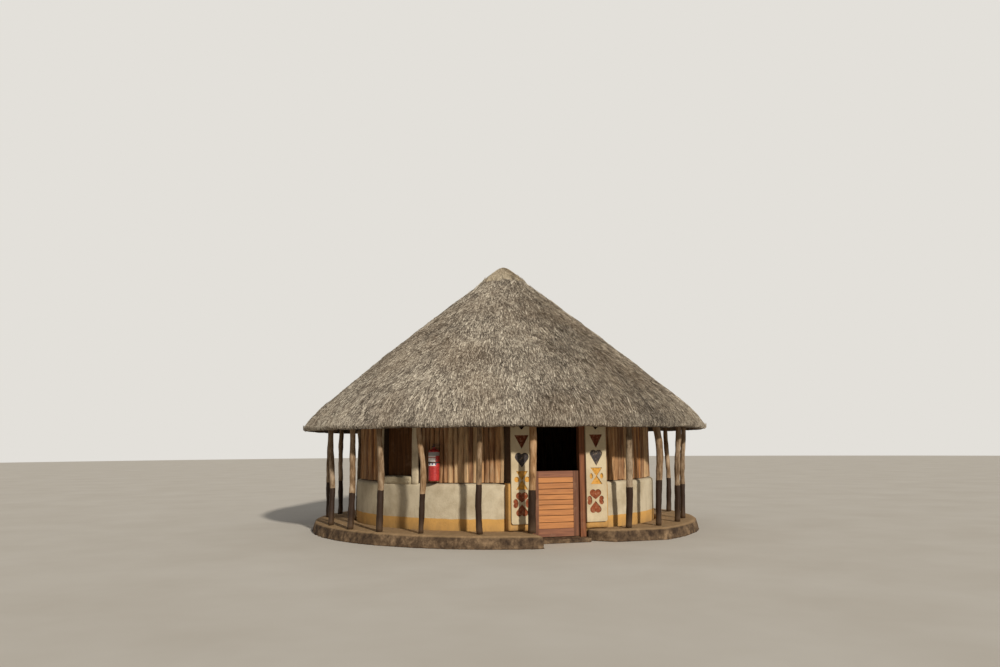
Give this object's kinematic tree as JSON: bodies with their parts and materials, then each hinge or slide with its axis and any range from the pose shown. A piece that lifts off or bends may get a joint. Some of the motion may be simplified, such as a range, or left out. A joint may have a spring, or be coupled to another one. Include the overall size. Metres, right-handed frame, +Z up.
{
  "type": "rondavel hut",
  "caption": "Round thatched hut with a ring veranda on log posts, plastered dado, split-pole upper wall and a half-height stable door.",
  "frame": {"origin": "centre of the hut on the ground, the centre of the plinth's underside", "axes": "+Z up, -Y out of the door, +X to the right of someone facing the door from outside"},
  "size_m": [7.56, 7.56, 5],
  "materials": {
    "concrete": "rough",
    "plaster": "limewashed",
    "ochre_plaster": "matt",
    "motif_pigment": "matt",
    "split_poles": "weathered",
    "log": "weathered, foot painted dark",
    "frame_timber": "oiled",
    "door_timber": "varnished",
    "dark_timber": "weathered",
    "thatch": "weathered grass",
    "straw": "newer grass",
    "iron": "dull",
    "red_enamel": "gloss",
    "valve_metal": "satin"
  },
  "bodies": {
    "hut": {"plinth_left": "concrete", "plinth_right": "concrete", "plinth_rear_left": "concrete", "plinth_rear_right": "concrete", "floor_slab": "concrete", "threshold": "concrete", "dado_left": "plaster", "dado_right": "plaster", "dado_rear_left": "plaster", "dado_rear_right": "plaster", "cladding_front": "split_poles", "cladding_left": "split_poles", "cladding_right": "split_poles", "cladding_rear_left": "split_poles", "cladding_rear_right": "split_poles", "window_jambs": "plaster", "window_sill": "plaster", "window_lintel": "plaster", "window_shutter": "dark_timber", "door_pier_left": "ochre_plaster", "door_pier_right": "ochre_plaster", "door_panel_left": "plaster", "door_panel_right": "plaster", "panel_motifs": "motif_pigment", "door_lintel": "dark_timber", "door_frame": "frame_timber", "frame_ironwork": "iron", "posts_left": "log", "posts_right": "log", "posts_rear": "log", "eaves_beam": "log", "wall_plate": "log", "rafters": "log", "crown_block": "log", "battens": "log", "thatch_front": "thatch", "thatch_front_left": "thatch", "thatch_front_right": "thatch", "thatch_rear": "thatch", "thatch_rear_left": "thatch", "thatch_rear_right": "thatch", "thatch_cap": "straw", "extinguisher_body": "red_enamel", "extinguisher_valve": "valve_metal", "extinguisher_bracket": "iron"},
    "door_leaf": {"leaf_stiles": "door_timber", "leaf_rails": "door_timber", "leaf_boards": "door_timber", "leaf_straps": "iron", "leaf_bolt": "iron"}
  },
  "joints": [
    {"name": "door_hinge", "type": "hinge", "parent": "hut", "child": "door_leaf", "pos_m": [0.4, -2.684, 0.5], "axis": [0, 0, -1], "range_deg": [0, 90]}
  ]
}
